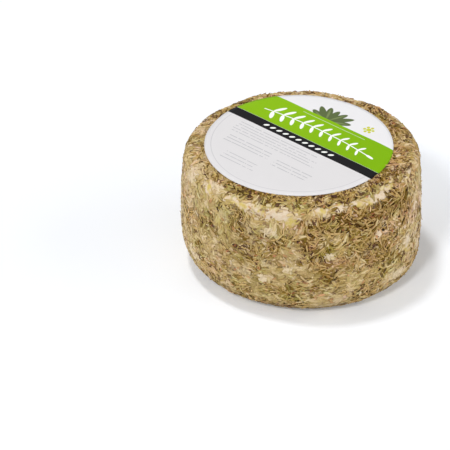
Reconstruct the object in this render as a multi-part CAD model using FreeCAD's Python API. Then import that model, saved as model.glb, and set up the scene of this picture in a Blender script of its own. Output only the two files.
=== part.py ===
import FreeCAD, Part
import math
import os

# A mini wheel of aged goat's cheese with a pressed-on herb coat, and its round
# paper label. Millimetres, +Z up, origin at the middle of the base face that
# the wheel rests on, -Y towards the front, where most of the coat is worn.
#
# The wheel comes out of a round mould, is rubbed with lard and rolled in dried
# herbs, and slumps a little as it ages. So its side is one smooth skin round a
# slumped profile, a little uneven all round, with shallow worn hollows where
# the coat has come off the shoulder. The top and the base are pressed flat.

# Driving dimensions.
wheelDiameter = 130.0      # over the herb coat, at the belly
wheelHeight = 70.0         # from the base to the pressed flat under the label

flatRadius = 43.0          # pressed flat in the middle of the top
domeDrop = 1.5             # the top falls by this much from the flat to the shoulder
shoulderRadius = 5.0       # rounding between the top and the side
baseRadius = 13.3          # rounding between the side and the base
baseRadiusVaries = 3.0     # the base is rounder on the side that the wheel dried on
drySide = 215.0            # degrees round from +X
bellyPull = 2.0            # the side pulls in by this much at its two ends

labelDiameter = 102.0
labelThickness = 0.3
labelOffCentre = (-2.0, 1.6)

# Unevenness of the side: waves round the wheel as (waves, depth in mm, phase in degrees).
sideWaves = ((2, 0.55, 20.0), (3, 0.40, 140.0), (5, 0.28, 65.0), (7, 0.18, 200.0))
waveTwist = 70.0           # the waves turn by this many degrees from base to shoulder

# Hollows worn in the coat, as (degrees round from +X, height as a share of the
# wheel, width in mm round the wheel, height in mm, depth in mm).
wornHollows = (
    (215.0, 0.960, 9.0, 8.0, 1.0),
    (243.0, 0.945, 18.0, 9.0, 1.2),
    (260.0, 0.935, 18.0, 9.0, 1.4),
    (285.0, 0.965, 18.0, 7.0, 1.1),
    (310.0, 0.965, 25.0, 8.0, 1.3),
    (332.0, 0.420, 10.0, 11.0, 0.9),
    (62.0, 0.950, 20.0, 7.0, 1.1),
    (128.0, 0.945, 15.0, 8.0, 1.2),
)

# The net of control points that the skin is drawn over.
netColumns = 48            # control points round the wheel
arcSteps = 4               # steps in each rounding of the profile
sideSteps = 5              # steps up the side
domeSteps = 4              # steps over the top, from shoulder to flat
baseRim = 4.0              # the net ends this far inside the base's rounding

# A closed cubic curve runs inside its ring of control points by this share.
ringShrink = (2.0 + math.cos(2.0 * math.pi / netColumns)) / 3.0


def angleBetween(a, b):
    """The turn from b to a in degrees, from -180 to 180."""
    return (a - b + 180.0) % 360.0 - 180.0


def meridian(degrees):
    """The slumped profile at one place round the wheel, as (radius, height)
    points from the flat of the top down to the flat of the base."""
    side = wheelDiameter / 2.0
    base = baseRadius + baseRadiusVaries * math.cos(math.radians(angleBetween(degrees, drySide)))
    shoulderTop = wheelHeight - domeDrop
    points = [(side - base - bellyPull - baseRim, 0.0)]
    for i in range(arcSteps + 1):
        turn = math.pi / 2.0 * i / arcSteps
        points.append((side - base + base * math.sin(turn), base - base * math.cos(turn)))
    low = base
    high = shoulderTop - shoulderRadius
    for i in range(1, sideSteps):
        points.append((side, low + (high - low) * i / sideSteps))
    for i in range(arcSteps + 1):
        turn = math.pi / 2.0 * i / arcSteps
        points.append((side - shoulderRadius + shoulderRadius * math.cos(turn),
                       high + shoulderRadius * math.sin(turn)))
    start = side - shoulderRadius
    for i in range(1, domeSteps + 1):
        share = i / domeSteps
        radius = start + (flatRadius - start) * share
        points.append((radius, wheelHeight - domeDrop * (1.0 - share) ** 2))
    # The belly: full at mid-height, pulled in towards the base and the shoulder.
    middle = wheelHeight / 2.0
    points.reverse()
    return [(r - bellyPull * ((z - middle) / middle) ** 2 * (r / side), z) for r, z in points]


def unevenness(degrees, height):
    """How far the skin stands out at a place on the wheel, in millimetres."""
    share = height / wheelHeight
    waves = sum(depth * math.cos(math.radians(count * degrees + phase + waveTwist * share))
                for count, depth, phase in sideWaves)
    hollows = 0.0
    for place, high, width, tall, depth in wornHollows:
        across = math.radians(angleBetween(degrees, place)) * wheelDiameter / 2.0
        up = height - high * wheelHeight
        hollows += depth * math.exp(-(2.0 * across / width) ** 2 - (2.0 * up / tall) ** 2)
    # The pressed faces keep their outline, so the waves die away towards them.
    free = math.sin(math.pi * min(max(share, 0.0), 1.0)) ** 0.5
    return waves * free - hollows


def skinNet():
    """Rows of control points, one row round the wheel for each profile point."""
    columns = []
    for j in range(netColumns):
        degrees = 360.0 * j / netColumns
        outward = FreeCAD.Vector(math.cos(math.radians(degrees)), math.sin(math.radians(degrees)), 0.0)
        column = []
        for radius, height in meridian(degrees):
            reach = (radius + unevenness(degrees, height)) / ringShrink
            column.append(outward * reach + FreeCAD.Vector(0.0, 0.0, height))
        columns.append(column)
    return [list(row) for row in zip(*columns)]


def skinFace(net):
    """The smooth skin over the net: closed round the wheel, open at the two flats."""
    rows = len(net)
    degree = 3
    acrossKnots = list(range(rows - degree + 1))
    acrossMults = [degree + 1] + [1] * (rows - degree - 1) + [degree + 1]
    roundKnots = list(range(netColumns + 1))
    roundMults = [1] * (netColumns + 1)
    surface = Part.BSplineSurface()
    surface.buildFromPolesMultsKnots(net, acrossMults, roundMults, acrossKnots, roundKnots,
                                     False, True, degree, degree)
    return surface.toShape()


def flatFace(skin, height, outward):
    """The pressed flat that closes the skin at one height, facing outward."""
    rims = [edge for edge in skin.Edges
            if edge.isClosed() and abs(edge.Vertexes[0].Z - height) < 1e-6]
    face = Part.Face(Part.Wire(rims))
    if face.normalAt(0.0, 0.0).z * outward < 0.0:
        face.reverse()
    return face


def makeWheel():
    skin = skinFace(skinNet())
    base = flatFace(skin, 0.0, -1.0)
    top = flatFace(skin, wheelHeight, 1.0)
    shell = Part.Shell([skin, base, top])
    return Part.Solid(shell)


def makeLabel():
    x, y = labelOffCentre
    return Part.makeCylinder(labelDiameter / 2.0, labelThickness, FreeCAD.Vector(x, y, wheelHeight))


def main():
    os.makedirs("parts", exist_ok=True)
    pieces = {"cheese_wheel": makeWheel(), "paper_label": makeLabel()}
    # The uneven wheel's own middle becomes the origin.
    extent = pieces["cheese_wheel"].optimalBoundingBox(False)
    toMiddle = FreeCAD.Vector(-extent.Center.x, -extent.Center.y, 0.0)
    for name, solid in pieces.items():
        solid.translate(toMiddle)
        if not solid.isValid() or not solid.isClosed():
            raise RuntimeError(name + " isn't a closed valid solid")
        solid.exportStep("parts/" + name + ".step")
        box = solid.optimalBoundingBox(False)
        print(name, "cm3", round(solid.Volume / 1000.0, 1),
              "x", round(box.XMin, 2), round(box.XMax, 2),
              "y", round(box.YMin, 2), round(box.YMax, 2),
              "z", round(box.ZMin, 2), round(box.ZMax, 2))
    gap = pieces["paper_label"].distToShape(pieces["cheese_wheel"])[0]
    print("gap between label and wheel in mm:", round(gap, 4))


main()
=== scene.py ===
import math
import bpy
import numpy as np
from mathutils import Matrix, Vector, noise
from mathutils.bvhtree import BVHTree


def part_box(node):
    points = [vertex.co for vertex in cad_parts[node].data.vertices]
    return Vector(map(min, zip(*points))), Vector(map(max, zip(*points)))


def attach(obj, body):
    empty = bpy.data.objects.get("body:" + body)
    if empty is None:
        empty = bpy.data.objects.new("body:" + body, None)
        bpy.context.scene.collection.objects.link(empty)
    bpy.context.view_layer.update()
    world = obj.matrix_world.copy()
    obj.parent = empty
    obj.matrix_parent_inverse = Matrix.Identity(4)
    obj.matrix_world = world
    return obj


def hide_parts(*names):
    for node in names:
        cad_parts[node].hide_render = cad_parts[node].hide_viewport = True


# A wheel of aged goat's cheese, rubbed with lard and rolled in dried, crushed
# rosemary, with a round paper label on its pressed top.

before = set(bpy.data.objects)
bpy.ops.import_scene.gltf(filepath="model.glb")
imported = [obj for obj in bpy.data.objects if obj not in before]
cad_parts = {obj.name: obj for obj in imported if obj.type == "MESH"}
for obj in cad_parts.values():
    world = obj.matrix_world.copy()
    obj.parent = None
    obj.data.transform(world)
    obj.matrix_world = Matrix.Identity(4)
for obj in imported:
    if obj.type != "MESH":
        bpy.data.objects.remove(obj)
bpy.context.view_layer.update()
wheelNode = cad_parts["cheese_wheel"]
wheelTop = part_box("cheese_wheel")[1].z
labelLow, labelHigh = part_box("paper_label")
labelMiddle = (labelLow + labelHigh) / 2.0
labelRadius = (labelHigh.x - labelLow.x) / 2.0
mm = 0.001


# small helpers

def addObject(name, data):
    thing = bpy.data.objects.new(name, data)
    bpy.context.scene.collection.objects.link(thing)
    return thing


def asLinear(red, green, blue):
    # a written colour of 0 to 255 as the shader wants it
    shares = []
    for value in (red, green, blue):
        share = value / 255.0
        shares.append(share / 12.92 if share <= 0.04045 else ((share + 0.055) / 1.055) ** 2.4)
    return (shares[0], shares[1], shares[2], 1.0)


def newGroup(name, inputs, outputs):
    # a number makes a float socket and a colour makes a colour socket
    group = bpy.data.node_groups.new(name, "ShaderNodeTree")
    for title, value in inputs.items():
        kind = "NodeSocketColor" if isinstance(value, tuple) else "NodeSocketFloat"
        socket = group.interface.new_socket(name=title, in_out="INPUT", socket_type=kind)
        socket.default_value = value
    for title, kind in outputs.items():
        group.interface.new_socket(name=title, in_out="OUTPUT", socket_type=kind)
    return group, group.nodes.new("NodeGroupInput"), group.nodes.new("NodeGroupOutput")


def setInput(tree, socket, value):
    # links another node's output, and sets anything else as it is
    if isinstance(value, bpy.types.NodeSocket):
        tree.links.new(value, socket)
    else:
        socket.default_value = value


def addNode(tree, kind, inputs=None, **settings):
    node = tree.nodes.new(kind)
    for key, value in settings.items():
        setattr(node, key, value)
    for key, value in (inputs or {}).items():
        setInput(tree, node.inputs[key], value)
    return node


def mathNode(tree, operation, *values, clamp=False):
    inputs = dict(enumerate(values))
    return addNode(tree, "ShaderNodeMath", inputs, operation=operation, use_clamp=clamp).outputs[0]


def plus(tree, first, second):
    return mathNode(tree, "ADD", first, second)


def minus(tree, first, second, clamp=False):
    return mathNode(tree, "SUBTRACT", first, second, clamp=clamp)


def times(tree, first, second):
    return mathNode(tree, "MULTIPLY", first, second)


def larger(tree, first, second):
    return mathNode(tree, "MAXIMUM", first, second)


def stirred(tree, value, grain, amount):
    # a value moved up and down by a noise of 0 to 1
    return mathNode(tree, "MULTIPLY_ADD", minus(tree, grain, 0.5), amount, value)


def mixColor(tree, amount, first, second, blend="MIX"):
    # each colour is a socket, a written colour, or shares of red, green, blue and alpha
    inputs = {0: amount}
    for place, color in ((6, first), (7, second)):
        written = isinstance(color, tuple) and len(color) == 3
        inputs[place] = asLinear(*color) if written else color
    return addNode(tree, "ShaderNodeMix", inputs, data_type="RGBA", blend_type=blend).outputs[2]


def remap(tree, value, low, high, newLow=0.0, newHigh=1.0):
    inputs = {"Value": value, "From Min": low, "From Max": high, "To Min": newLow, "To Max": newHigh}
    return addNode(tree, "ShaderNodeMapRange", inputs, interpolation_type="SMOOTHSTEP").outputs["Result"]


def noiseNode(tree, vector, scale, detail=3.0, rough=0.55):
    inputs = {"Vector": vector, "Scale": scale, "Detail": detail, "Roughness": rough}
    return addNode(tree, "ShaderNodeTexNoise", inputs).outputs["Fac"]


def objectPlace(tree):
    return addNode(tree, "ShaderNodeTexCoord").outputs["Object"]


def own(tree, name):
    # what the mesh carries under this name
    return addNode(tree, "ShaderNodeAttribute", attribute_name=name).outputs["Fac"]


def closedMesh(name, grid, first, last):
    # a mesh over columns and rows of points that turn round Z, closed at both ends
    columns, rows = grid.shape[:2]
    verts = grid.reshape(-1, 3).tolist() + [first, last]
    faces = []
    for i in range(columns):
        here = i * rows
        after = (i + 1) % columns * rows
        for j in range(rows - 1):
            faces.append((here + j, here + j + 1, after + j + 1, after + j))
        faces.append((columns * rows, here, after))
        faces.append((columns * rows + 1, after + rows - 1, here + rows - 1))
    mesh = bpy.data.meshes.new(name)
    mesh.from_pydata(verts, [], faces)
    return mesh


def principled(name, gloss):
    material = bpy.data.materials.new(name)
    material.use_nodes = True
    tree = material.node_tree
    shader = tree.nodes["Principled BSDF"]
    shader.inputs["Specular IOR Level"].default_value = gloss
    return material, tree, shader


def addBump(tree, shader, height, strength, depth):
    bump = addNode(tree, "ShaderNodeBump", {"Height": height, "Strength": strength, "Distance": depth * mm})
    tree.links.new(bump.outputs["Normal"], shader.inputs["Normal"])


# camera, light and floor

view = {
    "elevation": 33.4,      # degrees above the table
    "distance": 1.99,       # metres from the middle of the wheel
    "lens": 292.6,          # millimetres
    "sensor": 36.0,         # millimetres
    "clip": (0.05, 20.0),   # nearest and furthest that the camera sees, in metres
    "aimLeft": 0.0413,      # the camera aims this far left of the wheel's middle
    "aimDown": 0.0132,      # and this far below it
}

light = {
    "sky": 0.26,            # even light from all round
    "floorColor": (235, 238, 243),
    "floorRough": 0.9,
    "floorHalf": 3.0,       # metres from its middle to its edge
    "floorLift": 0.13,      # keeps the open floor white
    # broad soft lamps: strength, degrees across, degrees round from +X, degrees up
    "lamps": {
        "topLight": (1.04, 8.0, 153.0, 77.5),
        "windowLight": (1.2, 11.0, 243.0, 44.0),
        "frontFill": (0.53, 60.0, 292.0, 15.0),
        "leftFill": (1.10, 60.0, 176.0, 12.0),
        "rightFill": (1.62, 60.0, 352.0, 12.0),
    },
}


def setUpView():
    up = math.radians(view["elevation"])
    middle = Vector((0.0, 0.0, wheelTop / 2.0))
    right = Vector((1.0, 0.0, 0.0))
    over = Vector((0.0, math.sin(up), math.cos(up)))
    back = Vector((0.0, -math.cos(up), math.sin(up)))
    aim = middle - right * view["aimLeft"] - over * view["aimDown"]
    data = bpy.data.cameras.new("studioCamera")
    data.lens = view["lens"]
    data.sensor_width = view["sensor"]
    data.clip_start, data.clip_end = view["clip"]
    camera = addObject("studioCamera", data)
    camera.location = aim + back * view["distance"]
    camera.rotation_euler = (aim - camera.location).to_track_quat("-Z", "Y").to_euler()
    bpy.context.scene.camera = camera


def setUpLight():
    for name, (strength, size, around, up) in light["lamps"].items():
        lamp = bpy.data.lights.new(name, "SUN")
        lamp.energy = strength
        lamp.angle = math.radians(size)
        azimuth = math.radians(around)
        elevation = math.radians(up)
        source = Vector((math.cos(azimuth) * math.cos(elevation),
                         math.sin(azimuth) * math.cos(elevation),
                         math.sin(elevation)))
        addObject(name, lamp).rotation_euler = source.to_track_quat("Z", "Y").to_euler()
    world = bpy.data.worlds.new("studioWorld")
    world.use_nodes = True
    bpy.context.scene.world = world
    tree = world.node_tree
    background = tree.nodes["Background"]
    background.inputs["Color"].default_value = (1.0, 1.0, 1.0, 1.0)
    path = addNode(tree, "ShaderNodeLightPath")
    seen = larger(tree, path.outputs["Is Camera Ray"], path.outputs["Is Transmission Ray"])
    seen = larger(tree, seen, path.outputs["Is Glossy Ray"])
    strength = addNode(tree, "ShaderNodeMix", {0: seen, 2: light["sky"], 3: 1.0}, data_type="FLOAT")
    tree.links.new(strength.outputs[0], background.inputs["Strength"])


def setUpFloor():
    mesh = bpy.data.meshes.new("studioFloor")
    half = light["floorHalf"]
    corners = [(-half, -half, 0.0), (half, -half, 0.0), (half, half, 0.0), (-half, half, 0.0)]
    mesh.from_pydata(corners, [], [(0, 1, 2, 3)])
    material, tree, shader = principled("paleFloor", 0.0)
    shader.inputs["Base Color"].default_value = asLinear(*light["floorColor"])
    shader.inputs["Roughness"].default_value = light["floorRough"]
    shader.inputs["Emission Color"].default_value = (1.0, 1.0, 1.0, 1.0)
    path = addNode(tree, "ShaderNodeLightPath")
    lift = times(tree, path.outputs["Is Camera Ray"], light["floorLift"])
    tree.links.new(lift, shader.inputs["Emission Strength"])
    mesh.materials.append(material)
    addObject("studioFloor", mesh)


# the skin of the wheel, read from the CAD solid

skinGrid = {
    "columns": 288,         # round the wheel
    "rows": 200,            # from the middle of the top down to the middle of the base
    "rays": 360,            # in each column, to find the skin
}


def unit(vectors):
    return vectors / np.maximum(np.linalg.norm(vectors, axis=-1, keepdims=True), 1e-12)


def readSkin():
    mesh = wheelNode.data
    solid = BVHTree.FromPolygons([v.co.copy() for v in mesh.vertices],
                                 [tuple(p.vertices) for p in mesh.polygons])
    middle = Vector((0.0, 0.0, wheelTop / 2.0))
    columns = skinGrid["columns"]
    rows = skinGrid["rows"]
    rays = skinGrid["rays"]
    places = np.zeros((columns, rows, 3))
    lengths = np.zeros(columns)
    for i in range(columns):
        turn = 2.0 * math.pi * i / columns
        line = np.zeros((rays, 3))
        for j in range(rays):
            fall = math.pi / 2.0 - math.pi * j / (rays - 1)
            way = Vector((math.cos(turn) * math.cos(fall), math.sin(turn) * math.cos(fall), math.sin(fall)))
            line[j] = solid.ray_cast(middle, way)[0]
        steps = np.linalg.norm(np.diff(line, axis=0), axis=1)
        along = np.concatenate(([0.0], np.cumsum(steps)))
        lengths[i] = along[-1]
        # evenly spaced along the skin
        share = np.linspace(0.0, along[-1], rows)
        for axis in range(3):
            places[i, :, axis] = np.interp(share, along, line[:, axis])
    aroundStep = np.roll(places, -1, axis=0) - np.roll(places, 1, axis=0)
    downStep = np.gradient(places, axis=1)
    normals = unit(np.cross(downStep, aroundStep))
    normals[:, :2] = (0.0, 0.0, 1.0)
    normals[:, -2:] = (0.0, 0.0, -1.0)
    # the shoulder's edge is where the profile reaches furthest out and up
    profile = places.mean(axis=0)
    outward = np.hypot(places[..., 0], places[..., 1]).mean(axis=0)
    shoulder = int(np.argmax(outward + profile[:, 2])) / (rows - 1)
    return {"places": places, "normals": normals, "length": float(lengths.mean()), "shoulder": shoulder}


def onSkin(skin, around, down):
    # around is in turns, down is the share of the way from top to base
    columns = skinGrid["columns"]
    rows = skinGrid["rows"]
    a = np.mod(around, 1.0) * columns
    d = np.clip(down, 0.0, 1.0) * (rows - 1)
    a0 = np.floor(a).astype(int)
    d0 = np.minimum(np.floor(d).astype(int), rows - 2)
    fa = (a - a0)[..., None]
    fd = (d - d0)[..., None]
    a0 = a0 % columns
    a1 = (a0 + 1) % columns
    found = []
    for grid in (skin["places"], skin["normals"]):
        top = grid[a0, d0] * (1.0 - fa) + grid[a1, d0] * fa
        low = grid[a0, d0 + 1] * (1.0 - fa) + grid[a1, d0 + 1] * fa
        found.append(top * (1.0 - fd) + low * fd)
    return found[0], unit(found[1])


def noiseAt(points, scale, shift=0.0):
    # soft noise from -1 to 1 at each point, scale in 1/m
    flat = points.reshape(-1, 3) * scale + shift
    values = [noise.noise(Vector(p)) for p in flat]
    return np.array(values).reshape(points.shape[:-1])


def layered(points, layers):
    # layers of noise added up: strength, scale in 1/m, shift
    value = 0.0
    for strength, scale, shift in layers:
        value = value + strength * noiseAt(points, scale, shift)
    return value


def smoothStep(low, high, value):
    share = np.clip((value - low) / (high - low), 0.0, 1.0)
    return share * share * (3.0 - 2.0 * share)


# where the coat is worn, and where lard fills it

coat = {
    # places where the coat is rubbed off: degrees round from +X, mm along the skin
    # below the shoulder's edge, width and height in mm, strength
    "wornPlaces": (
        (198, 0.5, 22, 4, 0.7),
        (214, 1, 9, 7, 1.1),
        (233, 1, 14, 5.5, 1),
        (245, 1.5, 17, 6, 1.25),
        (257, 2, 17, 6.5, 1.25),
        (264.5, 3.5, 8, 8.5, 1.1),
        (279.5, -0.5, 10, 5.5, 1.15),
        (288, -2, 9, 6.5, 1.1),
        (299, -2, 9, 5, 1),
        (309, -1.5, 20, 5.5, 1.15),
        (320, -3, 13, 4.5, 0.95),
        (338, -1, 18, 4, 0.8),
        (330, 38, 8, 9, 0.9),
        (30, 0, 20, 5, 0.9),
        (62, 0, 22, 6.5, 1.2),
        (75, 30, 10, 8, 0.9),
        (98, -1, 16, 4.5, 0.9),
        (128, 1, 19, 6.5, 1.15),
        (152, 0, 12, 5.5, 1),
    ),
    # paler (+) and darker (-) parts of the coat, in the same way: mostly its own tone, but the broad
    # pale ones at the far left and right sides are a painted sheen, and the dark ones on the front
    # of the rim are painted shade, darkening the top where the lamps light it
    "toneAndPaintedLightPlaces": (
        (188, 20, 34, 58, 1.6), (196, 46, 30, 20, 0.8), (211, 50, 30, 14, 0.7),
        (258, 12, 26, 9, 0.9), (256, 37, 34, 18, 0.3), (262, 56, 60, 9, 0.5),
        (310, 21, 18, 7, 0.9), (336, 28, 22, 50, 1.3), (350, 14, 26, 48, 1.5),
        (325, 52, 24, 14, 0.9),
        (230, 27, 34, 14, -0.5), (240, 27, 13, 12, -0.5), (232, -8, 40, 7, -0.6),
        (255, -7, 34, 6, -0.6), (283, -9, 16, 8, -0.7), (298, 7, 74, 15, -0.9),
        (322, 6, 26, 12, -0.5), (300, 28, 40, 13, -0.4), (283, 40, 36, 16, -0.5),
        (310, 47, 24, 16, -0.45), (272, 22, 16, 16, -0.8), (348, -9, 40, 8, 0.4),
        (40, 12, 50, 16, -0.7), (80, 40, 40, 18, -0.6), (120, 20, 30, 20, 0.7),
        (150, 35, 44, 14, -0.7), (165, 10, 24, 20, 0.5), (20, 45, 30, 16, 0.8),
        (95, -5, 80, 10, 1), (190, -8, 40, 10, 0.15),
    ),
    # pinker (+) and greener (-) parts
    "huePlaces": (
        (192, 20, 24, 40, 0.6), (275, 20, 11, 9, 1.1), (310, 20, 16, 8, 1),
        (338, 18, 16, 22, 0.7), (328, 38, 12, 12, 0.9), (285, 32, 22, 8, 0.9),
        (300, 40, 26, 14, 0.5), (222, 50, 14, 9, 0.8), (268, 8, 14, 14, 0.7),
        (226, 16, 34, 22, -0.9), (257, 13, 26, 10, -0.6), (281, 25, 13, 8, -1.1),
        (318, 48, 26, 14, -0.9), (262, 54, 40, 10, -0.5), (285, -5, 160, 9, -0.7),
        (60, 20, 40, 30, -0.8), (110, 30, 30, 30, 0.8), (155, 20, 30, 30, -0.6),
        (20, 30, 20, 30, 0.7), (348, -9, 46, 10, 1),
    ),
    # smears of pale lard over the needles, and at the far left and right sides broad ones that are partly a
    # painted sheen
    "smearsAndSheen": (
        (182, 30, 34, 58, 0.55), (200, 4, 18, 9, 0.9), (205, 50, 26, 10, 0.8),
        (253.5, 12.5, 14, 6, 1), (218, -1, 30, 8, 0.8),
        (262, 36, 12, 7, 0.8), (250, 44, 12, 8, 0.8), (281, 26, 10, 5, 0.9),
        (309, 20.5, 13, 5, 1), (337, 19, 8, 8, 1.1), (329, 37, 9, 10, 1.1),
        (324, 53, 14, 9, 1), (350, 26, 34, 58, 0.55), (344, 45, 18, 20, 0.9),
        (100, 20, 16, 10, 1), (40, 30, 12, 12, 1), (150, 35, 14, 9, 1),
        (15, 45, 12, 9, 0.9),
    ),
    # clumps of dark stalk
    "darkClumps": (
        (239, 28, 12, 9, 1.2), (232, 2, 5, 4, 1), (252, 9.5, 6, 4, 1.2),
        (270, 26, 14, 5, 1.1), (268, 37, 6, 5, 1), (279, 4, 11, 6, 1.2),
        (275, 19, 5, 8, 0.9), (278, -8, 6, 5, 1.2), (283, -3, 6, 4, 0.9),
        (303, 27, 8, 7, 1.1), (327, 45, 7, 8, 1.1), (311, 48, 8, 8, 0.9),
        (336, -9, 7, 5, 1.1), (308, -7, 8, 5, 0.9), (246, -5, 10, 6, 0.9),
        (110, 38, 12, 8, 1.1), (20, 15, 10, 10, 1.1), (170, 12, 10, 8, 1),
        (70, 10, 10, 8, 1),
    ),
    # layers of noise: strength, scale in 1/m, shift
    "edgeNoise": ((1.0, 240.0, 0.0), (0.6, 610.0, 7.0)),
    "patchNoise": ((0.85, 75.0, 3.0), (0.8, 220.0, 11.0)),
    "hueNoise": ((1.0, 95.0, 31.0), (0.8, 260.0, 37.0)),
    "rimFlecks": (260.0, 43.0),
    "rimMottle": (400.0, 47.0),
    "ragged": 0.42,         # how ragged the edges of the places are
    "rimShade": 0.45,       # how much darker the front of the rim is beside the label: painted shade of the label's edge, and darker herbs
    "lardSide": 205.0,      # degrees round from +X where the lard lies thickest
    "dryPatch": (306.0, 40.0, 12.0, 17.0),  # degrees round and their spread, mm down and their spread
    # how far each thing adds to the lard between the needles
    "lardShares": {"always": 0.40, "side": 0.30, "dry": -0.55, "tone": 0.22, "patches": 0.45,
                   "rim": -0.25, "worn": 0.3},
}


def turnFrom(around, place):
    # degrees round from a listed place, -180 to 180
    return np.mod(around * 360.0 - place + 180.0, 360.0) - 180.0


def placeReach(skin, around, down, points, places):
    # for each listed place, how far from its middle each point lies, 1 at its edge
    radius = np.maximum(np.hypot(points[..., 0], points[..., 1]), 0.02)
    below = (down - skin["shoulder"]) * skin["length"]
    for place, low, width, tall, strength in places:
        across = np.radians(turnFrom(around, place)) * radius / (width * mm / 2.0)
        up = (below - low * mm) / (tall * mm / 2.0)
        yield strength, across ** 2 + up ** 2


def inPlaces(skin, around, down, points, places):
    # near 1 in the middle of a listed place, 0 at its edge, less outside
    value = np.full(points.shape[:-1], -3.0)
    for strength, reach in placeReach(skin, around, down, points, places):
        value = np.maximum(value, strength - np.sqrt(reach))
    return value


def blush(skin, around, down, points, places):
    # soft sum of the listed places, each fading out past its edge
    value = np.zeros(points.shape[:-1])
    for strength, reach in placeReach(skin, around, down, points, places):
        value = value + strength * np.exp(-1.2 * reach)
    return value


def coatAt(skin, around, down, points):
    # what the coat is like at each point
    here = (skin, around, down, points)
    ragged = layered(points, coat["edgeNoise"]) * coat["ragged"]
    patches = layered(points, coat["patchNoise"])
    worn = inPlaces(*here, coat["wornPlaces"]) + ragged
    # pale lard smears, with a painted sheen at the far left and right sides
    smearAndSheen = inPlaces(*here, coat["smearsAndSheen"]) + 1.2 * ragged + 0.35 * patches
    smearAndSheen = np.maximum(smoothStep(0.0, 0.7, smearAndSheen), 0.3 * smoothStep(-0.5, 0.0, worn))
    dark = smoothStep(0.0, 0.6, inPlaces(*here, coat["darkClumps"]) + 1.2 * ragged)
    # tone: the coat's own tone, with a painted sheen at the far sides and painted shade on the front of the
    # rim
    tone = 0.95 * blush(*here, coat["toneAndPaintedLightPlaces"]) + patches
    hue = 0.9 * blush(*here, coat["huePlaces"]) + layered(points, coat["hueNoise"])
    # the rim of the top is flecked with stalk
    below = (down - skin["shoulder"]) * skin["length"] / mm
    rim = smoothStep(1.0, -2.0, below)
    dark = np.maximum(dark, rim * smoothStep(0.0, 0.35, noiseAt(points, *coat["rimFlecks"])))
    angle = np.radians(around * 360.0)
    front = 0.5 - 0.5 * np.sin(angle)
    # the front of the rim beside the label is darker: partly painted shade of the label's edge, partly
    # darker herbs
    tone = tone - coat["rimShade"] * front * smoothStep(-3.0, -10.0, below) * (below > -20.0)
    tone = tone - 1.5 * rim * noiseAt(points, *coat["rimMottle"])
    # lard is 0 where the needles lie loose over dark gaps, 1 where it fills them
    side = 0.5 + 0.5 * np.cos(angle - math.radians(coat["lardSide"]))
    place, placeSpread, low, lowSpread = coat["dryPatch"]
    dry = np.exp(-(turnFrom(around, place) / placeSpread) ** 2 - ((below - low) / lowSpread) ** 2)
    shares = coat["lardShares"]
    lard = shares["always"] + shares["side"] * side + shares["dry"] * dry + shares["tone"] * tone
    lard = lard + shares["patches"] * patches + shares["rim"] * rim
    lard = np.clip(lard + shares["worn"] * smoothStep(-0.7, 0.0, worn), 0.0, 1.0)
    return {"worn": worn, "smearAndSheen": smearAndSheen, "dark": dark, "tone": tone, "hue": hue, "lard": lard}


# blushes that lie over rind and herbs alike

bloom = {
    "scale": 95.0,          # 1/m
    # ink, shift of its noise, and the noise at a blush's edge and at its middle
    "blushes": {
        "Oil": ((182, 156, 80), (0.31, 0.17, 0.23), 0.55, 0.72),
        "Chalk": ((208, 188, 156), (0.0, 0.0, 0.0), 0.54, 0.70),
    },
}


def makeBloomGroup():
    # yellow-green and chalky blushes of aged lard over the colour that comes in
    inputs = {"Color": (0.5, 0.5, 0.5, 1.0), "Amount": 0.5, "Scale": bloom["scale"]}
    for name, blushing in bloom["blushes"].items():
        inputs[name] = asLinear(*blushing[0])
    group, start, end = newGroup("agedBloom", inputs, {"Color": "NodeSocketColor"})
    color = start.outputs["Color"]
    for name, (ink, shift, low, high) in bloom["blushes"].items():
        moved = addNode(group, "ShaderNodeVectorMath", {0: objectPlace(group), 1: shift}, operation="ADD")
        blot = noiseNode(group, moved.outputs[0], start.outputs["Scale"], 3.0, 0.6)
        amount = times(group, remap(group, blot, low, high), start.outputs["Amount"])
        color = mixColor(group, amount, color, start.outputs[name])
    group.links.new(color, end.inputs["Color"])
    return group


bloomGroup = makeBloomGroup()


def bloomOver(tree, color, amount):
    inputs = {"Color": color, "Amount": amount}
    return addNode(tree, "ShaderNodeGroup", inputs, node_tree=bloomGroup).outputs["Color"]


smearAndSheenInk = (228, 209, 178)  # pale lard over needles and rind, and the painted sheen at the far sides


# the rind under the herbs

rind = {
    "columns": 330,         # round the wheel
    "rows": 150,            # from top to base
    "ends": 0.004,          # share of the way that is left for the middle of top and base
    # mm that the rind lies below the outside of the coat
    "underLard": 0.30,      # where lard fills the coat
    "underDry": 1.35,       # where the needles lie loose
    "underWorn": 0.25,      # where the coat is worn off
    "underBase": 0.05,      # where it is pressed flat below
    "underLabel": 0.35,     # and under the label, at least
    "lumps": (0.1925, 110.0, 2.0),  # broad unevenness: mm, scale in 1/m, shift
    "grit": (0.35, 420.0, 5.0),     # the lumps of herb dust, in the same way
    "dust": (98, 67, 18),
    "dustPale": (174, 146, 90),
    "lardPale": (204, 180, 132),
    "speck": (92, 64, 30),
    "cream": (216, 198, 172),
    "creamOil": (200, 178, 100),
    "creamPink": (208, 180, 150),
    "soaked": (190, 160, 92),
    "bloom": 0.3,
    "gloss": 0.15,
    "bump": (0.6, 0.4),     # strength, and depth in mm
}


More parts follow.
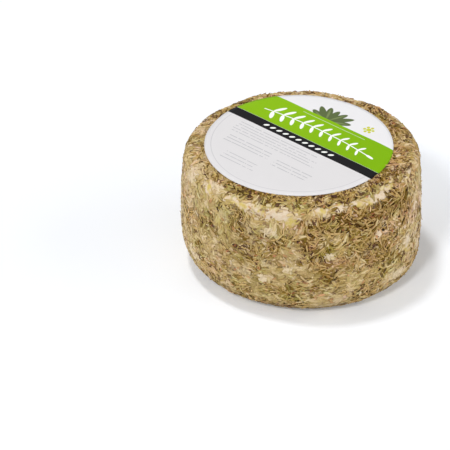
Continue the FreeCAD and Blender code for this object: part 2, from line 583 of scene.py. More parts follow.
def makeRindMaterial():
    material, tree, shader = principled("agedRind", rind["gloss"])
    where = objectPlace(tree)
    grit = noiseNode(tree, where, 1100.0, 4.0, 0.6)
    coarse = noiseNode(tree, where, 420.0)
    soft = noiseNode(tree, where, 150.0, 2.0)
    # herb dust and lard between the needles
    fill = stirred(tree, own(tree, "lard"), coarse, 1.6)
    dust = mixColor(tree, remap(tree, fill, 0.1, 0.7), rind["dust"], rind["dustPale"])
    dust = mixColor(tree, remap(tree, fill, 0.6, 1.3), dust, rind["lardPale"])
    dust = mixColor(tree, remap(tree, grit, 0.54, 0.70, 0.0, 0.45), dust, rind["speck"])
    # pale lard smears, and the painted sheen at the far sides
    dust = mixColor(tree, remap(tree, own(tree, "smearAndSheen"), 0.2, 0.9, 0.0, 0.7), dust, smearAndSheenInk)
    # bare cheese: chalky in the middle, yellow where lard soaks in, brown at its edge
    cream = mixColor(tree, remap(tree, soft, 0.45, 0.60), rind["cream"], rind["creamOil"])
    cream = mixColor(tree, remap(tree, coarse, 0.50, 0.66, 0.0, 0.6), cream, rind["creamPink"])
    edge = stirred(tree, stirred(tree, own(tree, "worn"), coarse, 1.6), grit, 1.2)
    color = mixColor(tree, remap(tree, edge, -0.8, -0.4), dust, rind["soaked"])
    color = mixColor(tree, remap(tree, edge, -0.3, 0.2), color, cream)
    tree.links.new(bloomOver(tree, color, rind["bloom"]), shader.inputs["Base Color"])
    tree.links.new(remap(tree, coarse, 0.35, 0.65, 0.45, 0.7), shader.inputs["Roughness"])
    addBump(tree, shader, grit, *rind["bump"])
    return material


def setFloats(mesh, name, values):
    layer = mesh.attributes.new(name, "FLOAT", "POINT")
    layer.data.foreach_set("value", np.asarray(values, dtype=np.float32).ravel())


def makeRind(skin):
    columns = rind["columns"]
    rows = rind["rows"]
    shares = np.linspace(rind["ends"], 1.0 - rind["ends"], rows)
    around, down = np.meshgrid(np.arange(columns) / columns, shares, indexing="ij")
    place, normal = onSkin(skin, around, down)
    state = coatAt(skin, around, down, place)
    bare = smoothStep(-0.35, 0.15, state["worn"])
    filled = smoothStep(0.2, 0.9, state["lard"])
    under = rind["underDry"] + (rind["underLard"] - rind["underDry"]) * filled
    depth = (under * (1.0 - bare) + rind["underWorn"] * bare) * mm
    lumps = layered(place, (rind["lumps"],)) * mm
    grit = layered(place, (rind["grit"],)) * mm * (1.0 - 0.6 * bare)
    depth = depth - lumps - grit
    # pressed flat at the base and under the label
    flatBase = smoothStep(4.0 * mm, 0.5 * mm, place[..., 2])
    depth = depth * (1.0 - flatBase) + rind["underBase"] * mm * flatBase
    radius = np.hypot(place[..., 0], place[..., 1])
    labelled = (place[..., 2] > wheelTop * 0.9) & (radius < labelRadius)
    depth = np.where(labelled, np.maximum(depth, rind["underLabel"] * mm), depth)
    points = place - normal * depth[..., None]
    points[..., 2] = np.maximum(points[..., 2], 0.0)
    topMiddle = (0.0, 0.0, float(points[:, 0, 2].mean()))
    mesh = closedMesh("agedRind", points, topMiddle, (0.0, 0.0, 0.0))
    mesh.polygons.foreach_set("use_smooth", [True] * len(mesh.polygons))
    for name, atPoles in (("worn", -4.0), ("lard", 0.5), ("smearAndSheen", 0.0)):
        setFloats(mesh, name, np.append(state[name].ravel(), (atPoles, atPoles)))
    mesh.materials.append(makeRindMaterial())
    piece = addObject("agedRind", mesh)
    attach(piece, "root")
    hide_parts("cheese_wheel")


# the dried herbs

herbInks = {
    "lard": (200, 174, 122),                # khaki lard that drowns them
    "greener": (0.86, 0.97, 0.76, 1.0),     # shares of red, green and blue kept
    "pinker": (1.08, 0.95, 1.16, 1.0),
    "shade": (152, 111, 38),                # painted shade, multiplied in where a bit is darker
    "deepShade": 0.7,       # share of that painted shade on a deep-lying bit
    "backShade": 0.4,       # and on the edges of a bit's back
    "smearAndSheenCover": 0.7,      # how far pale lard and the painted sheen cover a bit
    "gloss": 0.06,
    "bump": (0.35, 0.1),    # strength, and depth in mm
}


def makeHerbGroup():
    # one dried needle: its own tone and hue, darker at its ends, with painted shade where
    # it lies deep and on the edges of its back, and drowned in khaki lard where the lard is thick
    group, start, end = newGroup(
        "driedHerb",
        {"Pale": asLinear(212, 184, 132), "Middle": asLinear(178, 150, 96), "Dark": asLinear(120, 92, 52),
         "Lard": asLinear(*herbInks["lard"]), "SmearAndSheen": asLinear(*smearAndSheenInk),
         "Ends": 0.35, "Mottle": 0.35, "Drowned": 0.5},
        {"Color": "NodeSocketColor", "Rough": "NodeSocketFloat", "Height": "NodeSocketFloat"})
    fine = noiseNode(group, objectPlace(group), 900.0)
    tone = stirred(group, own(group, "tone"), fine, start.outputs["Mottle"])
    color = mixColor(group, remap(group, tone, 0.0, 0.5), start.outputs["Dark"], start.outputs["Middle"])
    color = mixColor(group, remap(group, tone, 0.5, 1.0), color, start.outputs["Pale"])
    # greener or pinker
    greener = mixColor(group, 1.0, color, herbInks["greener"], blend="MULTIPLY")
    pinker = mixColor(group, 1.0, color, herbInks["pinker"], blend="MULTIPLY")
    color = mixColor(group, remap(group, own(group, "hue"), 0.45, 0.0), color, greener)
    color = mixColor(group, remap(group, own(group, "hue"), 0.55, 1.0), color, pinker)
    # darker ends, and painted shade on deep-lying parts and back edges
    fromMiddle = mathNode(group, "ABSOLUTE", minus(group, own(group, "along"), 0.5))
    ends = times(group, remap(group, fromMiddle, 0.28, 0.5), start.outputs["Ends"])
    deep = times(group, minus(group, 1.0, own(group, "lift"), clamp=True), herbInks["deepShade"])
    back = remap(group, own(group, "back"), 0.6, 0.0, 0.0, herbInks["backShade"])
    shade = larger(group, larger(group, ends, deep), back)
    darker = mixColor(group, 1.0, color, herbInks["shade"], blend="MULTIPLY")
    color = mixColor(group, shade, color, darker)
    # lard over everything, and the painted sheen at the far sides
    drowned = times(group, remap(group, own(group, "lard"), 0.3, 1.0), start.outputs["Drowned"])
    color = mixColor(group, drowned, color, start.outputs["Lard"])
    smearAndSheen = remap(group, stirred(group, own(group, "smearAndSheen"), fine, 0.9), 0.2, 1.0)
    color = mixColor(group, times(group, smearAndSheen, herbInks["smearAndSheenCover"]), color, start.outputs["SmearAndSheen"])
    group.links.new(color, end.inputs["Color"])
    group.links.new(remap(group, fine, 0.3, 0.7, 0.5, 0.75), end.inputs["Rough"])
    group.links.new(fine, end.inputs["Height"])
    return group


herbGroup = makeHerbGroup()


def makeHerbMaterial(name, kind):
    material, tree, shader = principled(name, herbInks["gloss"])
    inputs = {ink.capitalize(): asLinear(*kind[ink]) for ink in ("pale", "middle", "dark")}
    inputs.update({look.capitalize(): kind[look] for look in ("ends", "mottle", "drowned")})
    herb = addNode(tree, "ShaderNodeGroup", inputs, node_tree=herbGroup)
    tree.links.new(bloomOver(tree, herb.outputs["Color"], kind["bloom"]), shader.inputs["Base Color"])
    tree.links.new(herb.outputs["Rough"], shader.inputs["Roughness"])
    addBump(tree, shader, herb.outputs["Height"], *herbInks["bump"])
    return material


# what a kind of bit has unless it says otherwise
usualBit = {
    "thick": 0.5,         # its thickness against its width
    "bend": 0.06,         # how much it bends sideways
    "tip": 0.2,           # mm that one end rises above the other
    "roll": 22.0,         # degrees that it may lie rolled
    "taper": 0.6,         # least width near its ends
    "worn": 0.06,         # how common it is in the worn places
    "rings": 3,           # rings of points between its tips
    "wet": 0.0,           # how much commoner it is in lard than where the coat is dry
    "clump": 0.5,         # how unevenly it is scattered
    "light": 0.0,         # how much commoner it is in the paler parts
    "toneSpread": 0.17,   # how far bits of its kind differ in tone
    "follows": 0.42,      # how far its tone follows the coat's
    "gather": None,       # a state of the coat that it gathers in
    "bloom": 0.2,         # chalky and oily blushes over it
    "ends": 0.2,          # how dark its ends are
    "mottle": 0.4,        # how mottled it is
    "drowned": 0.5,       # how far thick lard hides it
}

# Lengths and widths in mm. "lie" is how many mm the middle of a bit lies over the
# outside of the coat, or under it below 0. "pale", "middle" and "dark" are its inks.
herbKinds = {
    "brownNeedles": {
        "count": 3800, "length": (3.2, 6.8), "width": (0.9, 1.7), "thick": 0.42, "bend": 0.05,
        "lie": (-1.0, -0.4), "tip": 0.22, "taper": 0.62, "worn": 0.04, "wet": -0.3, "light": -0.6,
        "pale": (182, 146, 82), "middle": (147, 111, 49), "dark": (97, 67, 17), "bloom": 0.25,
    },
    "oliveNeedles": {
        "count": 5400, "length": (2.8, 7.4), "width": (0.8, 1.7), "lie": (-0.7, -0.12), "tip": 0.24,
        "wet": -0.2, "toneSpread": 0.2, "pale": (199, 175, 109), "middle": (167, 140, 72),
        "dark": (114, 88, 27), "bloom": 0.3,
    },
    "leafFlakes": {
        "count": 5200, "length": (2.4, 5.4), "width": (1.4, 2.8), "thick": 0.13, "bend": 0.07,
        "lie": (-0.6, -0.1), "tip": 0.16, "roll": 9.0, "taper": 0.55, "wet": 1.0, "light": 0.2,
        "toneSpread": 0.24, "pale": (209, 186, 141), "middle": (175, 150, 98), "dark": (123, 96, 40),
        "bloom": 0.4, "mottle": 0.5,
    },
    "topFlakes": {
        "count": 4800, "length": (2.6, 7.4), "width": (1.0, 2.3), "thick": 0.15, "lie": (-0.3, 0.1),
        "roll": 10.0, "taper": 0.5, "worn": 0.05, "wet": 0.8, "clump": 0.6, "toneSpread": 0.3,
        "pale": (215, 194, 148), "middle": (178, 155, 99), "dark": (118, 92, 35), "bloom": 0.4,
        "drowned": 0.3,
    },
    "strawNeedles": {
        "count": 6000, "length": (2.4, 7.0), "width": (0.7, 1.3), "thick": 0.6, "lie": (-0.6, 0.14),
        "tip": 0.45, "roll": 26.0, "wet": -1.3, "clump": 0.3, "follows": 0.1, "pale": (224, 197, 146),
        "middle": (194, 163, 104), "dark": (144, 110, 50),
    },
    "paleChaff": {
        "count": 2400, "length": (1.8, 4.4), "width": (0.6, 1.1), "thick": 0.4, "bend": 0.1,
        "lie": (-0.5, 0.12), "tip": 0.4, "roll": 40.0, "taper": 0.7, "rings": 2, "wet": -0.2,
        "clump": 0.4, "light": 0.5, "follows": 0.15, "pale": (231, 213, 177), "middle": (209, 185, 141),
        "dark": (171, 145, 98),
    },
    "lardFlecks": {
        "count": 1600, "length": (1.6, 5.0), "width": (1.2, 2.6), "thick": 0.12, "bend": 0.1,
        "lie": (-0.4, 0.02), "tip": 0.12, "roll": 12.0, "taper": 0.7, "worn": 0.18, "wet": 0.5,
        "clump": 0.6, "gather": "smearAndSheen", "light": 0.5, "toneSpread": 0.2, "pale": (219, 200, 167),
        "middle": (200, 177, 139), "dark": (173, 147, 107), "ends": 0.1, "drowned": 0.2,
    },
    "darkBits": {
        "count": 2400, "length": (1.4, 3.8), "width": (0.8, 1.6), "bend": 0.05, "lie": (-0.45, 0.06),
        "tip": 0.3, "roll": 45.0, "taper": 0.8, "rings": 2, "gather": "dark", "light": -0.4,
        "pale": (140, 106, 76), "middle": (108, 78, 56), "dark": (80, 54, 44), "bloom": 0.15,
        "drowned": 0.3,
    },
    "rustBits": {
        "count": 760, "length": (1.6, 4.2), "width": (0.9, 1.9), "thick": 0.25, "bend": 0.08,
        "lie": (-0.5, 0.02), "tip": 0.25, "taper": 0.7, "worn": 0.16, "wet": 0.3, "clump": 0.7,
        "pale": (208, 156, 110), "middle": (178, 122, 80), "dark": (136, 84, 54), "bloom": 0.1,
        "drowned": 0.35,
    },
    "herbCrumbs": {
        "count": 5000, "length": (0.8, 2.0), "width": (0.7, 1.5), "bend": 0.0, "lie": (-0.55, -0.1),
        "tip": 0.1, "roll": 40.0, "taper": 1.0, "worn": 0.03, "rings": 1, "wet": 0.4, "clump": 0.3,
        "toneSpread": 0.22, "pale": (226, 202, 150), "middle": (182, 154, 94), "dark": (118, 88, 38),
    },
}

herbLay = {
    "seed": 41,
    "sides": 4,             # round each bit, so that it has two long edges
    # places and girths along a bit for one, two or three rings between its tips
    "stations": {1: (-0.5, 0.0, 0.5), 2: (-0.5, -0.3, 0.3, 0.5), 3: (-0.5, -0.4, 0.0, 0.4, 0.5)},
    "girths": {1: (0.0, 1.0, 0.0), 2: (0.0, 1.0, 0.9, 0.0), 3: (0.0, 0.88, 1.0, 0.82, 0.0)},
    "baseShare": 0.3,       # how thickly the base is covered, against the side
    "baseRadius": 0.046,    # metres from the middle of the base where that holds
    "labelReach": 0.004,    # metres that the herbs reach in under the label
    "clumpScale": 110.0,    # 1/m, of the noise that scatters them unevenly
    "level": 0.55,          # share of the needles low on the side that lie level
    "levelSpread": 0.35,    # how far those differ, in radians
    "swirl": 1.4,           # half turns that the lie of the needles changes round the coat
    "spread": 0.45,         # how far neighbours differ, in radians
    "stray": 0.3,           # share that lie any way
    "shorter": 0.15,        # how much shorter the few shortest are
    "arch": 0.12,           # mm that the middle of a bit rises over its ends
    "hueSpread": 0.12,      # how far neighbours differ in hue
    "hueFollows": 0.42,     # how far their hue follows the coat's
    "uneven": 0.3,          # how much the width of a bit changes along it
    "askew": 0.25,          # how far its broken ends lie to one side, in widths
    # in thick lard the bits lie flatter: shares taken off
    "lardLoose": 0.6,
    "lardLie": 0.3,
    "lardThick": 0.5,
    "overBase": 0.03,       # mm that the bits stay over the table
    "underLabel": 0.05,     # mm that they stay under the top beside the label
    "labelGap": 0.4,        # mm round the label where that holds
}


def placeHerbs(skin, kind, number, chance):
    # picks places evenly over the coat, thinly on the base and in the worn places
    rows = skinGrid["rows"]
    height = skin["places"].mean(axis=0)[:, 2]
    radius = np.hypot(skin["places"][..., 0], skin["places"][..., 1]).mean(axis=0)
    cover = np.ones(rows)
    cover[(height > wheelTop * 0.9) & (radius < labelRadius - herbLay["labelReach"])] = 0.0
    cover[(height < mm) & (radius < herbLay["baseRadius"])] = herbLay["baseShare"]
    total = np.cumsum(radius * cover)
    total = total / total[-1]
    picked = []
    needed = kind["count"]
    while needed > 0:
        tries = needed * 2 + 50
        around = chance.random(tries)
        down = np.interp(chance.random(tries), total, np.linspace(0.0, 1.0, rows))
        place = onSkin(skin, around, down)[0]
        state = coatAt(skin, around, down, place)
        clumps = noiseAt(place, herbLay["clumpScale"], 20.0 + 9.0 * number)
        wish = 0.55 + kind["wet"] * (state["lard"] - 0.45)
        wish = wish * np.clip(1.0 + 2.2 * kind["clump"] * clumps, 0.1, 2.0)
        wish = wish * np.clip(1.0 + kind["light"] * state["tone"], 0.15, 2.0)
        if kind["gather"]:
            wish = wish * (0.15 + 2.8 * state[kind["gather"]])
        bare = smoothStep(-0.55, 0.0, state["worn"])
        wish = wish * (1.0 - bare) + kind["worn"] * bare * np.clip(1.3 - state["worn"], 0.2, 1.0)
        keep = chance.random(tries) < wish
        found = np.stack((around[keep], down[keep]), axis=1)[:needed]
        picked.append(found)
        needed -= len(found)
    picked = np.concatenate(picked)
    return picked[:, 0], picked[:, 1]


def layHerbs(skin, name, kind, number, chance):
    around, down = placeHerbs(skin, kind, number, chance)
    count = len(around)
    middle = onSkin(skin, around, down)[0]
    state = coatAt(skin, around, down, middle)
    lard = state["lard"]
    radius = np.maximum(np.hypot(middle[:, 0], middle[:, 1]), 0.004)
    length = chance.uniform(*kind["length"], count) * mm
    length = length * (1.0 - herbLay["shorter"] * chance.random(count) ** 3)
    width = chance.uniform(*kind["width"], count) * mm
    # neighbours lie much the same way, level low down on the side
    turn = math.pi * herbLay["swirl"] * noiseAt(middle, 60.0, 50.0)
    turn = turn + chance.normal(0.0, herbLay["spread"], count)
    stray = chance.random(count) < herbLay["stray"]
    turn = np.where(stray, chance.uniform(-math.pi, math.pi, count), turn)
    low = smoothStep(0.7, 0.25, middle[:, 2] / wheelTop)
    level = chance.random(count) < herbLay["level"] * low
    turn = np.where(level, chance.normal(0.0, herbLay["levelSpread"], count), turn)
    bend = chance.normal(0.0, kind["bend"], count) / mm
    loose = 1.0 - herbLay["lardLoose"] * lard
    lie = chance.uniform(*kind["lie"], count) * mm * (1.0 - herbLay["lardLie"] * lard)
    tip = chance.normal(0.0, kind["tip"], count) * mm * loose
    arch = np.abs(chance.normal(0.0, herbLay["arch"], count)) * mm * loose
    roll = np.radians(chance.normal(0.0, kind["roll"], count)) * loose
    stations = np.array(herbLay["stations"][kind["rings"]])
    girths = np.stack([np.array(herbLay["girths"][kind["rings"]])] * count)
    girths[:, 1] *= chance.uniform(kind["taper"], 1.0, count)
    girths[:, -2] *= chance.uniform(kind["taper"], 1.0, count)
    uneven = herbLay["uneven"]
    girths = girths * chance.uniform(1.0 - uneven, 1.0 + 0.4 * uneven, girths.shape)
    far = length[:, None] * stations
    sideways = bend[:, None] * far ** 2 / 2.0
    # ends broken off askew
    sideways[:, 0] += chance.normal(0.0, herbLay["askew"], count) * width
    sideways[:, -1] += chance.normal(0.0, herbLay["askew"], count) * width
    x = far * np.cos(turn)[:, None] - sideways * np.sin(turn)[:, None]
    y = far * np.sin(turn)[:, None] + sideways * np.cos(turn)[:, None]
    a = around[:, None] + x / (2.0 * math.pi * radius[:, None])
    d = down[:, None] + y / skin["length"]
    place, normal = onSkin(skin, a, d)
    rise = lie[:, None] + tip[:, None] * stations * 2.0 + arch[:, None] * (1.0 - 4.0 * stations ** 2)
    spine = place + normal * rise[..., None]
    ahead = unit(np.gradient(spine, axis=1))
    beside = unit(np.cross(normal, ahead))
    over = np.cross(ahead, beside)
    halfWide = (girths * width[:, None] / 2.0)[..., None]
    thick = kind["thick"] * (1.0 - herbLay["lardThick"] * lard)
    rings = []
    for side in range(herbLay["sides"]):
        # a flat section, turned with the roll
        corner = 2.0 * math.pi * side / herbLay["sides"]
        wide = math.cos(corner)
        tall = math.sin(corner) * thick
        alongWide = (wide * np.cos(roll) - tall * np.sin(roll))[:, None, None]
        alongTall = (wide * np.sin(roll) + tall * np.cos(roll))[:, None, None]
        rings.append(spine + halfWide * (beside * alongWide + over * alongTall))
    # a tip, the rings between, and the other tip
    inner = np.stack(rings, axis=2)[:, 1:-1].reshape(count, -1, 3)
    verts = np.concatenate((spine[:, :1], inner, spine[:, -1:]), axis=1)
    # nothing goes below the base, and nothing lifts the label
    verts[..., 2] = np.maximum(verts[..., 2], herbLay["overBase"] * mm)
    fromLabel = np.hypot(verts[..., 0] - labelMiddle.x, verts[..., 1] - labelMiddle.y)
    nearLabel = fromLabel < labelRadius + herbLay["labelGap"] * mm
    ceiling = np.where(nearLabel, wheelTop - herbLay["underLabel"] * mm, 1.0)
    verts[..., 2] = np.minimum(verts[..., 2], ceiling)
    tone = chance.normal(0.5, kind["toneSpread"], count) + kind["follows"] * state["tone"]
    hue = chance.normal(0.5, herbLay["hueSpread"], count) + herbLay["hueFollows"] * state["hue"]
    values = {
        "tone": np.clip(tone, 0.0, 1.0),
        "hue": np.clip(hue, 0.0, 1.0),
        # lift is how high a bit lies; the lower it lies, the more painted shade it gets
        "lift": np.clip(1.0 + lie / mm * 0.9 + 0.3 * lard, 0.0, 1.0),
        "lard": lard,
        "smearAndSheen": state["smearAndSheen"],
    }
    buildHerbs(name, kind, verts, values)


def herbFaces(rings, sides):
    # corner numbers of one bit's faces, each corner with its place on a flat map
    last = rings * sides + 1
    start = 1 + (rings - 1) * sides
    tips = []
    quads = []
    for k in range(sides):
        n = (k + 1) % sides
        left = k / sides
        right = (k + 1) / sides
        middle = (left + right) / 2.0
        first = 1.0 / (rings + 1.0)
        end = rings / (rings + 1.0)
        tips.append(((0, 0.0, middle), (1 + n, first, right), (1 + k, first, left)))
        tips.append(((last, 1.0, middle), (start + k, end, left), (start + n, end, right)))
        for r in range(rings - 1):
            near = 1 + r * sides
            beyond = near + sides
            here = (r + 1.0) / (rings + 1.0)
            there = (r + 2.0) / (rings + 1.0)
            quads.append(((near + k, here, left), (near + n, here, right),
                          (beyond + n, there, right), (beyond + k, there, left)))
    return tips, quads


def buildHerbs(name, kind, verts, values):
    count, each = verts.shape[:2]
    rings = kind["rings"]
    sides = herbLay["sides"]
    starts = np.arange(count)[:, None] * each
    # on the flat map each bit has a cell of its own
    across = math.ceil(math.sqrt(count / 2.0))
    cells = np.stack((np.arange(count) % across, np.arange(count) // across), axis=1)[:, None, :]
    cellSize = np.array((1.0 / across, 1.0 / math.ceil(count / across)))
    corners = []
    seats = []
    sizes = []
    for faces in herbFaces(rings, sides):
        if not faces:
            continue
        flat = [corner for face in faces for corner in face]
        numbers = np.array([corner[0] for corner in flat])
        spots = np.array([corner[1:] for corner in flat])
        corners.append((starts + numbers[None]).reshape(-1))
        seats.append(((cells + 0.1 + 0.8 * spots[None]) * cellSize).reshape(-1, 2))
        sizes.append(np.full(count * len(faces), len(faces[0])))
    corners = np.concatenate(corners)
    sizes = np.concatenate(sizes)
    mesh = bpy.data.meshes.new(name)
    mesh.vertices.add(count * each)
    mesh.vertices.foreach_set("co", verts.reshape(-1))
    mesh.loops.add(len(corners))
    mesh.loops.foreach_set("vertex_index", corners)
    mesh.polygons.add(len(sizes))
    mesh.polygons.foreach_set("loop_start", np.concatenate(([0], np.cumsum(sizes)[:-1])))
    mesh.polygons.foreach_set("use_smooth", np.ones(len(sizes), dtype=bool))
    mesh.update(calc_edges=True)
    # the two long edges of a bit are crisp, its back is softly rounded
    ends = np.empty(len(mesh.edges) * 2, dtype=np.int32)
    mesh.edges.foreach_get("vertices", ends)
    seat = ends.reshape(-1, 2) % each
    onEdge = (seat == 0) | (seat == each - 1) | ((seat - 1) % sides % 2 == 0)
    crisp = mesh.attributes.new("sharp_edge", "BOOLEAN", "EDGE")
    crisp.data.foreach_set("value", onEdge.all(axis=1))
    layer = mesh.uv_layers.new(name="OFBake")
    layer.data.foreach_set("uv", np.concatenate(seats).astype(np.float32).ravel())
    for attribute, value in values.items():
        setFloats(mesh, attribute, np.repeat(value, each))
    along = [0.0] + [(r + 1.0) / (rings + 1.0) for r in range(rings) for _ in range(sides)] + [1.0]
    # back is 0 on a bit's long edges, which get painted shade, and 1 on its ridges
    back = [0.4] + [0.0, 1.0] * (rings * sides // 2) + [0.4]
    setFloats(mesh, "along", np.tile(np.array(along), count))
    setFloats(mesh, "back", np.tile(np.array(back), count))
    mesh.materials.append(makeHerbMaterial(name, kind))
    piece = addObject(name, mesh)
    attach(piece, "root")


# the paper label

label = {
    "rings": 26,
    "spokes": 180,
    "thick": 0.25,          # mm
    "seat": 0.12,           # mm that it lies over the underside of the CAD label
    "wave": 0.22,           # mm that the paper ripples over the herbs
    "waveNoise": (70.0, 4.0),   # scale in 1/m, and shift
    "dip": 0.1,             # mm that a ripple may go down
    "droop": 0.30,          # mm that the rim sinks towards the falling top
    "droopFrom": 0.82,      # share of the radius where that begins
    "gloss": 0.08,
    "bump": (0.08, 0.1),    # strength, and depth in mm
    "paper": (219, 217, 218),
    "paperBack": (230, 229, 231),
    "greenInk": (134, 182, 16),
    "greenDeep": (124, 174, 8),
    "blackInk": (12, 11, 14),
    "whiteInk": (246, 248, 244),
    "greyInk": (180, 179, 183),
    "leafInk": (88, 102, 62),
    "leafLight": (118, 132, 84),
    "seedInk": (196, 200, 60),
    "turn": -42.0,          # degrees that the bands run from +X
}

# What is printed, in mm along and over the bands from the middle of the label. An
# ellipse is its middle, half its length, half its width and its turn in degrees.
printed = {
    "black": (-0.6, 6.3),
    "green": (6.3, 29.6),
    "fanRoot": (-4.5, 27.6),        # where the leaves of the fan meet
    "fanLeaves": ((24.0, 7.4), (46.0, 8.2), (68.0, 7.2), (92.0, 6.6), (116.0, 7.4),
                  (138.0, 8.0), (160.0, 7.0)),     # degrees and length
    "seedHead": (19.0, 36.0),       # its middle
    "seedDots": (6, 2.5, 0.95),     # how many, how far out, and half their size
    "seedCore": 1.5,                # half the size of the bigger one between them
    "stemLine": (18.2, 0.0022),     # how far over, and how much it bows
    "stemHalf": 0.42,
    "stemReach": (-38.0, 35.0),
    "stemTip": (37.0, 0.0, 2.9, 0.95, 0.0),
    "sprigReach": (-34.0, 32.0),
    "sprigPitch": 6.6,
    "sprigGrowth": 0.055,   # how much smaller each pair of leaves is than the last
    "sprigLeaf": (0.2, 3.6, 3.9, 1.25, 62.0),
    "rule": (26.6, 27.0),
    "ruleReach": (-20.0, 24.0),
    "beadReach": (-28.0, 22.6),
    "beadPitch": 4.6,
    "bead": (0.0, 0.0, 1.75, 0.85, 38.0),
    "rimLine": (47.2, 47.75),
    # blocks of fine rules: left, right, top, rows, pitch, weight
    "fineRules": ((-38.0, 36.0, -3.6, 5.0, 2.3, 0.24), (-34.0, 6.0, -17.4, 3.0, 2.6, 0.24),
                  (2.0, 34.0, -20.0, 3.0, 2.6, 0.24), (-24.0, 4.0, -31.0, 3.0, 2.8, 0.2)),
}


def makeEllipseGroup():
    # 1 inside an ellipse, 0 outside, with a soft edge
    group, start, end = newGroup(
        "ellipseMark",
        {"X": 0.0, "Y": 0.0, "Center X": 0.0, "Center Y": 0.0, "Half Length": 1.0, "Half Width": 1.0,
         "Turn": 0.0, "Edge": 0.06},
        {"Mask": "NodeSocketFloat"})
    given = start.outputs
    dx = minus(group, given["X"], given["Center X"])
    dy = minus(group, given["Y"], given["Center Y"])
    cosTurn = mathNode(group, "COSINE", given["Turn"])
    sinTurn = mathNode(group, "SINE", given["Turn"])
    along = plus(group, times(group, dx, cosTurn), times(group, dy, sinTurn))
    cross = minus(group, times(group, dy, cosTurn), times(group, dx, sinTurn))
    a = mathNode(group, "DIVIDE", along, given["Half Length"])
    b = mathNode(group, "DIVIDE", cross, given["Half Width"])
    reach = mathNode(group, "SQRT", plus(group, times(group, a, a), times(group, b, b)))
    mask = mathNode(group, "DIVIDE", minus(group, 1.0, reach), given["Edge"], clamp=True)
    group.links.new(mask, end.inputs["Mask"])
    return group


def makeRuleGroup():
    # rows of short plain bars with gaps, as fine print looks from afar
    group, start, end = newGroup(
        "fineRules",
        {"X": 0.0, "Y": 0.0, "Left": -10.0, "Right": 10.0, "Top": 0.0, "Rows": 4.0, "Pitch": 2.4,
         "Weight": 0.26},
        {"Mask": "NodeSocketFloat"})
    given = start.outputs
    lines = mathNode(group, "DIVIDE", minus(group, given["Top"], given["Y"]), given["Pitch"])
    row = mathNode(group, "FLOOR", lines)
    inRow = mathNode(group, "LESS_THAN", minus(group, lines, row), given["Weight"])
    afterTop = mathNode(group, "GREATER_THAN", row, -0.5)
    beforeEnd = mathNode(group, "LESS_THAN", row, minus(group, given["Rows"], 0.5))

    def noiseFor(across, over, detail):
        seat = addNode(group, "ShaderNodeCombineXYZ", {0: across, 1: over})
        return noiseNode(group, seat.outputs["Vector"], 1.0, detail)

    gaps = noiseFor(times(group, given["X"], 0.55), times(group, row, 7.3), 1.0)
    dash = mathNode(group, "GREATER_THAN", gaps, 0.40)
    # each row ends at a place of its own
    short = times(group, noiseFor(times(group, row, 3.7), given["Top"], 0.0), -0.45)
    width = minus(group, given["Right"], given["Left"])
    ending = mathNode(group, "MULTIPLY_ADD", short, width, given["Right"])
    afterLeft = mathNode(group, "GREATER_THAN", given["X"], given["Left"])
    beforeRight = mathNode(group, "LESS_THAN", given["X"], ending)
    mask = inRow
    for part in (afterTop, beforeEnd, dash, afterLeft, beforeRight):
        mask = times(group, mask, part)
    group.links.new(mask, end.inputs["Mask"])
    return group


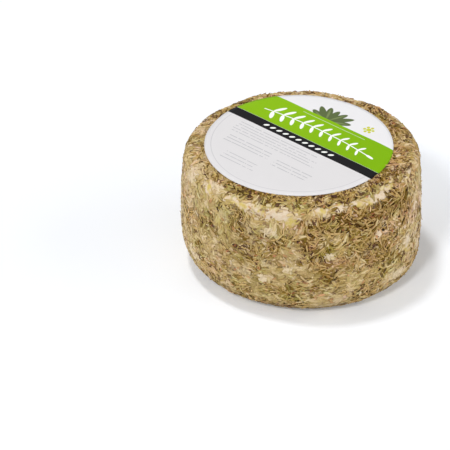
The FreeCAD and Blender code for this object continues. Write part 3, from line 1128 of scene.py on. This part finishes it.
def makeLabelMaterial():
    material, tree, shader = principled("printedPaper", label["gloss"])
    ellipse = makeEllipseGroup()
    rules = makeRuleGroup()
    where = objectPlace(tree)
    # millimetres from the middle of the label, turned to run along and over the bands
    moved = addNode(tree, "ShaderNodeVectorMath", {0: where, 1: tuple(labelMiddle)}, operation="SUBTRACT")
    inputs = {0: moved.outputs[0], "Scale": 1.0 / mm}
    scaled = addNode(tree, "ShaderNodeVectorMath", inputs, operation="SCALE").outputs[0]
    inputs = {"Vector": scaled, "Axis": (0.0, 0.0, 1.0), "Angle": math.radians(-label["turn"])}
    turned = addNode(tree, "ShaderNodeVectorRotate", inputs)
    split = addNode(tree, "ShaderNodeSeparateXYZ", {0: turned.outputs[0]})
    x = split.outputs["X"]
    y = split.outputs["Y"]
    radius = addNode(tree, "ShaderNodeVectorMath", {0: scaled}, operation="LENGTH").outputs["Value"]

    def band(value, low, high, soft=0.12):
        above = mathNode(tree, "DIVIDE", minus(tree, value, low), soft, clamp=True)
        below = mathNode(tree, "DIVIDE", minus(tree, high, value), soft, clamp=True)
        return times(tree, above, below)

    def mark(px, py, cx, cy, long, wide, turn, edge=0.08):
        inputs = {"X": px, "Y": py, "Center X": cx, "Center Y": cy, "Half Length": long,
                  "Half Width": wide, "Turn": math.radians(turn), "Edge": edge}
        return addNode(tree, "ShaderNodeGroup", inputs, node_tree=ellipse).outputs["Mask"]

    def allOf(masks):
        whole = masks[0]
        for mask in masks[1:]:
            whole = larger(tree, whole, mask)
        return whole

    def repeat(reach, pitch):
        # which repeat along the bands this is, and how far from its middle
        place = mathNode(tree, "DIVIDE", minus(tree, x, reach), pitch)
        inPlace = minus(tree, mathNode(tree, "FRACT", place), 0.5)
        return mathNode(tree, "FLOOR", place), times(tree, inPlace, pitch)

    # the fields
    paper = mixColor(tree, band(y, printed["green"][1], 60.0), label["paper"], label["paperBack"])
    green = mixColor(tree, remap(tree, x, -30.0, 40.0), label["greenInk"], label["greenDeep"])
    # a fan of herb leaves that rises from behind the green band
    leaves = []
    veins = []
    rootX, rootY = printed["fanRoot"]
    for step, (turn, long) in enumerate(printed["fanLeaves"]):
        leafX = rootX + math.cos(math.radians(turn)) * long
        leafY = rootY + math.sin(math.radians(turn)) * long * 0.9
        leaves.append(mark(x, y, leafX, leafY, long * 0.98, 2.1, turn))
        if step % 2 == 0:
            veins.append(mark(x, y, leafX, leafY, long * 0.8, 0.8, turn, 0.5))
    leafColor = mixColor(tree, allOf(veins), label["leafInk"], label["leafLight"])
    color = mixColor(tree, allOf(leaves), paper, leafColor)
    # a seed head: a ring of small dots round a bigger one
    seedX, seedY = printed["seedHead"]
    seeds = [mark(x, y, seedX, seedY, printed["seedCore"], printed["seedCore"], 0.0)]
    dots, out, size = printed["seedDots"]
    for k in range(dots):
        spoke = math.radians(360.0 * k / dots + 15.0)
        dotX = seedX + out * math.cos(spoke)
        dotY = seedY + out * math.sin(spoke)
        seeds.append(mark(x, y, dotX, dotY, size, size, 0.0))
    color = mixColor(tree, allOf(seeds), color, label["seedInk"])
    color = mixColor(tree, band(y, *printed["green"]), color, green)
    color = mixColor(tree, band(y, *printed["black"]), color, label["blackInk"])
    # a white sprig along the green band: a bowed stem with pairs of leaves
    line, bow = printed["stemLine"]
    sprigY = plus(tree, minus(tree, y, line), times(tree, times(tree, x, x), bow))
    upper = mathNode(tree, "ABSOLUTE", sprigY)
    pair, inPair = repeat(printed["sprigReach"][0], printed["sprigPitch"])
    growth = mathNode(tree, "MULTIPLY_ADD", pair, printed["sprigGrowth"], 1.0)
    sprig = mark(times(tree, inPair, growth), times(tree, upper, growth), *printed["sprigLeaf"])
    sprig = times(tree, sprig, band(x, *printed["sprigReach"], 0.05))
    stem = times(tree, band(upper, -1.0, printed["stemHalf"]), band(x, *printed["stemReach"]))
    tip = mark(x, sprigY, *printed["stemTip"])
    # a thin rule over the sprig, and a row of small leaves in the dark band
    rule = times(tree, band(y, *printed["rule"]), band(x, *printed["ruleReach"]))
    beadX = repeat(printed["beadReach"][0], printed["beadPitch"])[1]
    beadY = minus(tree, y, sum(printed["black"]) / 2.0)
    beads = times(tree, mark(beadX, beadY, *printed["bead"]), band(x, *printed["beadReach"], 0.05))
    white = allOf((sprig, stem, tip, times(tree, rule, 0.6), beads))
    color = mixColor(tree, white, color, label["whiteInk"])
    # fine rules on the plain half, and a line round the rim
    names = ("Left", "Right", "Top", "Rows", "Pitch", "Weight")
    blocks = []
    for block in printed["fineRules"]:
        inputs = {"X": x, "Y": y, **dict(zip(names, block))}
        blocks.append(addNode(tree, "ShaderNodeGroup", inputs, node_tree=rules).outputs["Mask"])
    ring = times(tree, band(radius, *printed["rimLine"]), band(y, -60.0, printed["black"][0]))
    grey = larger(tree, times(tree, allOf(blocks), 0.8), times(tree, ring, 0.5))
    color = mixColor(tree, grey, color, label["greyInk"])
    tree.links.new(color, shader.inputs["Base Color"])
    fibre = noiseNode(tree, where, 2600.0, 4.0, 0.7)
    tree.links.new(remap(tree, fibre, 0.3, 0.7, 0.5, 0.62), shader.inputs["Roughness"])
    addBump(tree, shader, fibre, *label["bump"])
    return material


def makeLabel():
    rings = label["rings"]
    spokes = label["spokes"]
    seat = labelLow.z + label["seat"] * mm
    thick = label["thick"] * mm
    scale, shift = label["waveNoise"]
    sheet = np.zeros((spokes, rings, 3))
    for i in range(rings):
        share = (i + 1) / rings
        sink = label["droop"] * mm * max(0.0, (share - label["droopFrom"]) / (1.0 - label["droopFrom"])) ** 2
        for k in range(spokes):
            angle = 2.0 * math.pi * k / spokes
            px = labelMiddle.x + labelRadius * share * math.cos(angle)
            py = labelMiddle.y + labelRadius * share * math.sin(angle)
            ripple = noise.noise(Vector((px * scale, py * scale, shift))) * label["wave"] * mm
            ripple = max(-label["dip"] * mm, ripple * (0.4 + 0.6 * share))
            sheet[k, i] = (px, py, seat + ripple - sink)
    # out over the upper side, and back in over the lower side
    up = np.array((0.0, 0.0, thick))
    grid = np.concatenate((sheet + up, sheet[:, ::-1]), axis=1)
    upperMiddle = (labelMiddle.x, labelMiddle.y, seat + thick)
    mesh = closedMesh("printedLabel", grid, upperMiddle, (labelMiddle.x, labelMiddle.y, seat))
    # the sheet is smooth, its cut edge isn't
    mesh.polygons.foreach_set("use_smooth", [abs(p.normal.z) >= 0.5 for p in mesh.polygons])
    mesh.materials.append(makeLabelMaterial())
    piece = addObject("printedLabel", mesh)
    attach(piece, "root")
    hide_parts("paper_label")


# put it together

bpy.context.scene.view_settings.view_transform = "Standard"
setUpView()
setUpLight()
setUpFloor()
print("view, light and floor ready")

skin = readSkin()
print("skin read, way from top to base in mm:", round(skin["length"] / mm, 1))
makeRind(skin)
print("rind made")
chance = np.random.default_rng(herbLay["seed"])
for herbNumber, (herbName, herbKind) in enumerate(herbKinds.items()):
    layHerbs(skin, herbName, {**usualBit, **herbKind}, herbNumber, chance)
    print("laid", herbKind["count"], herbName)
makeLabel()
print("label made")
